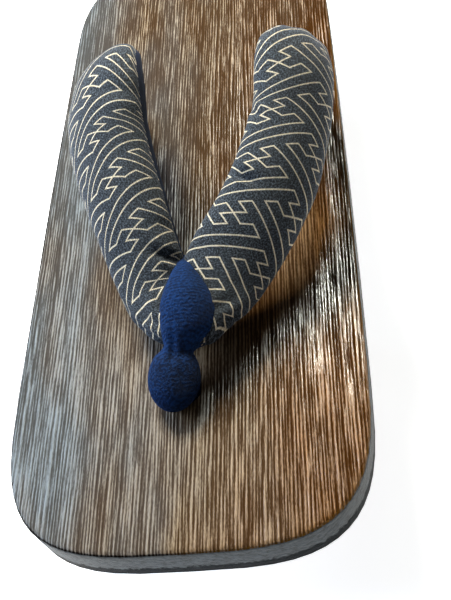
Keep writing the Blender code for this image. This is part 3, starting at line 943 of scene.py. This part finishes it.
# %% The toe loop's form
FRONT_HOLE_ALONG = 0.0485
FOOT_DIAMETER = 0.0081
FOOT_INTO_LOBE = 0.0040
FOOT_TOP_DIAMETER = 0.0040
LOBE_WIDTH = 0.0154
LOBE_LENGTH = 0.0194
LOBE_HEIGHT = 0.0122
LOBE_RISE = math.radians(25)
LOBE_TURN = math.radians(-10)
LOBE_ASIDE = 0.0016
BAND_WIDTH = 0.016
BAND_HEIGHT = 0.0225
BAND_FRONT_ALONG = 0.0510
BAND_BACK_ALONG = 0.0860
BAND_SQUARENESS = 2.4
BAND_ROWS = [
    {"back": 0.00, "up": 0.38, "wide": 0.40, "high": 0.34, "lean": -0.8, "lie": 66},
    {"back": 0.14, "up": 0.48, "wide": 0.56, "high": 0.44, "lean": 0.3, "lie": 74},
    {"back": 0.25, "up": 0.51, "wide": 0.96, "high": 0.70, "lean": 1.1, "lie": 84},
    {"back": 0.46, "up": 0.55, "wide": 1.06, "high": 0.92, "lean": 1.2, "lie": 90},
    {"back": 0.70, "up": 0.54, "wide": 0.70, "high": 0.88, "lean": 1.1, "lie": 92},
    {"back": 0.88, "up": 0.48, "wide": 0.45, "high": 0.68, "lean": 1.0, "lie": 96},
    {"back": 0.97, "up": 0.44, "wide": 0.30, "high": 0.46, "lean": 1.0, "lie": 98},
    {"back": 1.00, "up": 0.43, "wide": 0.18, "high": 0.24, "lean": 1.0, "lie": 100},
]
LOOP_SIDES = 40
LOOP_RINGS = 8


def loft(rings):
    """Skins closed rings of places in order and caps both ends."""
    builder = bmesh.new()
    loops = []
    for ring in rings:
        corners = [builder.verts.new(place) for place in ring]
        loops.append([
            builder.edges.new((corners[i], corners[(i + 1) % len(ring)])) for i in range(len(ring))])
    for first, second in zip(loops[:-1], loops[1:]):
        bmesh.ops.bridge_loops(builder, edges=first + second)
    for end in (loops[0], loops[-1]):
        bmesh.ops.contextual_create(builder, geom=end)
    bmesh.ops.recalc_face_normals(builder, faces=builder.faces[:])
    return builder


def band_ring(knots, place):
    """One section of the band. At lie 90 it stands straight across the board."""
    read = {column: eased(BAND_ROWS, knots, place, column) for column in BAND_ROWS[0]}
    lie = math.radians(read["lie"])
    up = read["up"] * BAND_HEIGHT
    along = BAND_FRONT_ALONG + place * (BAND_BACK_ALONG - BAND_FRONT_ALONG)
    centre = point(THONG_LEAN * up * read["lean"], along, up)
    upward = Vector((0, -math.cos(lie), math.sin(lie)))
    ring = []
    for i in range(LOOP_SIDES):
        turn = 2 * math.pi * i / LOOP_SIDES
        c, s = math.cos(turn), math.sin(turn)
        x = math.copysign(abs(c) ** (2 / BAND_SQUARENESS), c) * read["wide"] * BAND_WIDTH / 2
        y = math.copysign(abs(s) ** (2 / BAND_SQUARENESS), s) * read["high"] * BAND_HEIGHT / 2
        ring.append(centre + Vector((x, 0, 0)) + upward * y)
    return ring


def band_form():
    knots = [row["back"] for row in BAND_ROWS]
    rings = []
    for start, end in zip(knots[:-1], knots[1:]):
        rings += [band_ring(knots, start + (end - start) * i / LOOP_RINGS) for i in range(LOOP_RINGS)]
    return loft(rings + [band_ring(knots, knots[-1])])


def lobe_form():
    builder = bmesh.new()
    half_rise = math.hypot(LOBE_LENGTH / 2 * math.sin(LOBE_RISE), LOBE_HEIGHT / 2 * math.cos(LOBE_RISE))
    centre = point(-LOBE_ASIDE, FRONT_HOLE_ALONG, half_rise + 0.3 * MM)
    turns = Matrix.Rotation(LOBE_TURN, 4, "Z") @ Matrix.Rotation(LOBE_RISE, 4, "X")
    shape = Matrix.Translation(centre) @ turns @ Matrix.Diagonal((LOBE_WIDTH, LOBE_LENGTH, LOBE_HEIGHT, 1.0))
    bmesh.ops.create_uvsphere(builder, u_segments=LOOP_SIDES, v_segments=24, radius=0.5, matrix=shape)
    return builder


def foot_form():
    """The loop's foot fills the front hole and narrows above the board."""
    places = [
        (0.3 * MM - BOARD_THICK, FOOT_DIAMETER),
        (-1.6 * MM, FOOT_DIAMETER),
        (FOOT_INTO_LOBE, FOOT_TOP_DIAMETER),
    ]
    rings = []
    for up, width in places:
        centre = point(0, FRONT_HOLE_ALONG, up)
        turns = [2 * math.pi * i / LOOP_SIDES for i in range(LOOP_SIDES)]
        rings.append([centre + Vector((math.cos(turn), math.sin(turn), 0)) * width / 2 for turn in turns])
    return loft(rings)


loop = make_object("toe_loop", band_form())
print("the band is", round((BAND_BACK_ALONG - BAND_FRONT_ALONG) / MM), "mm long")

# %% [markdown]
# Booleans leave sharp corners where two forms meet. A voxel remesh turns the three forms into one even
# skin, listed folds press it in where the loop is tied, and a few rounds of smoothing melt it all
# together.

# %% Join, remesh and soften the toe loop
VOXEL = 0.45 * MM
SOFTENINGS = 6
FOLDED_ABOVE = 2
LOOP_FOLDS = [
    {"x": 1.2, "y": 5.5, "heading": 82, "length": 9, "width": 1.0, "depth": 1.3},
    {"x": -3.2, "y": 6.0, "heading": 118, "length": 7, "width": 1.0, "depth": 0.7},
    {"x": 4.8, "y": 6.0, "heading": 60, "length": 7, "width": 1.0, "depth": 0.7},
    {"x": 4.5, "y": -3.5, "heading": 100, "length": 12, "width": 3.0, "depth": 1.4},
]


def fold_depth(fold, x, y):
    """How deep a fold presses the velvet in, in millimetres, at a place seen from above."""
    heading = math.radians(fold["heading"])
    ahead, aside = x - fold["x"], y - fold["y"]
    on_line = ahead * math.cos(heading) + aside * math.sin(heading)
    off_line = aside * math.cos(heading) - ahead * math.sin(heading)
    return fold["depth"] * bell(on_line, fold["length"] / 2) * bell(off_line, fold["width"])


def join_with(target, tool, operation):
    step = target.modifiers.new(tool.name, "BOOLEAN")
    step.object = tool
    step.operation = operation
    step.solver = "EXACT"
    apply_modifiers(target)
    bpy.data.objects.remove(tool, do_unlink=True)


join_with(loop, make_object("lobe", lobe_form()), "UNION")
join_with(loop, make_object("foot", foot_form()), "UNION")
skin = loop.modifiers.new("skin", "REMESH")
skin.mode = "VOXEL"
skin.voxel_size = VOXEL
skin.use_smooth_shade = True
apply_modifiers(loop)

soft = bmesh.new()
soft.from_mesh(loop.data)
soft.normal_update()
for vert in soft.verts:
    place = (vert.co - point(-LOBE_ASIDE, FRONT_HOLE_ALONG, 0)) / MM
    if vert.normal.z > 0 and place.z > FOLDED_ABOVE:
        depth = sum(fold_depth(fold, place.x, place.y) for fold in LOOP_FOLDS)
        vert.co -= vert.normal * vert.normal.z * depth * MM
for _ in range(SOFTENINGS):
    bmesh.ops.smooth_vert(
        soft, verts=soft.verts[:], factor=0.5, use_axis_x=True, use_axis_y=True, use_axis_z=True)
soft.to_mesh(loop.data)
soft.free()
print("the toe loop has", len(loop.data.polygons), "faces")

# %% [markdown]
# Velvet hides its weave under a short pile. The pile stands in fine cords across the band, and it looks
# dark where it faces the eye and pale where it is seen from the side, which the sheen gives. The pinch
# where the loop is tied has small folds that fan out from it.

# %% Navy velvet
RIB_PITCH = 0.95 * MM
RIB_SCALE = 0.314 / RIB_PITCH
PINCH = 0.0545 - BOARD_LENGTH / 2
PINCH_REACH = 2 * MM

velvet, tree, shader = new_material(
    "navy_ribbed_velvet", 0.95, Sheen_Weight=0.16, Sheen_Roughness=0.4, Specular_IOR_Level=0.12)
shader.inputs["Sheen Tint"].default_value = linear("#2c5cae")
place, axes = object_place(tree)
ribs = add_node(tree, "TexWave", {"Vector": place, "Scale": RIB_SCALE, "Distortion": 0.8,
                                  "Detail": 1.0, "Detail Scale": 0.4}, bands_direction="Y")
ribs = maths(tree, "MULTIPLY", ribs, rescale(tree, axes["Y"], PINCH - PINCH_REACH, PINCH + PINCH_REACH))
pile = rescale(tree, noise_at(tree, place, 0.75 * MM), 0.42, 0.62)
nap = noise_at(tree, place, 6 * MM, 1.0)
shade = maths(tree, "MULTIPLY_ADD", ribs, 0.3, maths(tree, "MULTIPLY", pile, 0.45))
shade = maths(tree, "MULTIPLY_ADD", nap, 0.4, shade)
height = maths(tree, "MULTIPLY_ADD", ribs, 0.25, pile)
bump = add_node(tree, "Bump", {"Strength": 0.7, "Distance": 0.25 * MM, "Height": height})
wear(tree, shader, Base_Color=blend(tree, shade, "#020818", "#0f3160"), Normal=bump)
loop.data.materials.clear()
loop.data.materials.append(velvet)
hand_over(loop, "loop_velvet", "maetsubo")

# %% [markdown]
# Under the board the loop's cord and the thong's two ends are knotted. These plain solids keep their
# place and get the look of twisted cotton cord.

# %% Cord finish
TWIST_PITCH = 1.4 * MM
TWIST_TURN = math.radians(40)

cord_finish, tree, shader = new_material("twisted_cotton_cord", 0.9)
turned = add_node(tree, "Mapping", {"Vector": object_place(tree)[0], "Rotation": (0, 0, TWIST_TURN)})
twist = add_node(tree, "TexWave", {"Vector": turned, "Scale": WAVE_PERIOD / TWIST_PITCH, "Distortion": 0.5},
                 bands_direction="X")
bump = add_node(tree, "Bump", {"Strength": 0.8, "Distance": 0.4 * MM, "Height": twist})
wear(tree, shader, Base_Color=blend(tree, twist, "#15181f", "#3d4454"), Normal=bump)
for name in ("front_knot", "rear_ties"):
    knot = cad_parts[name].data
    knot.materials.clear()
    knot.materials.append(cord_finish)
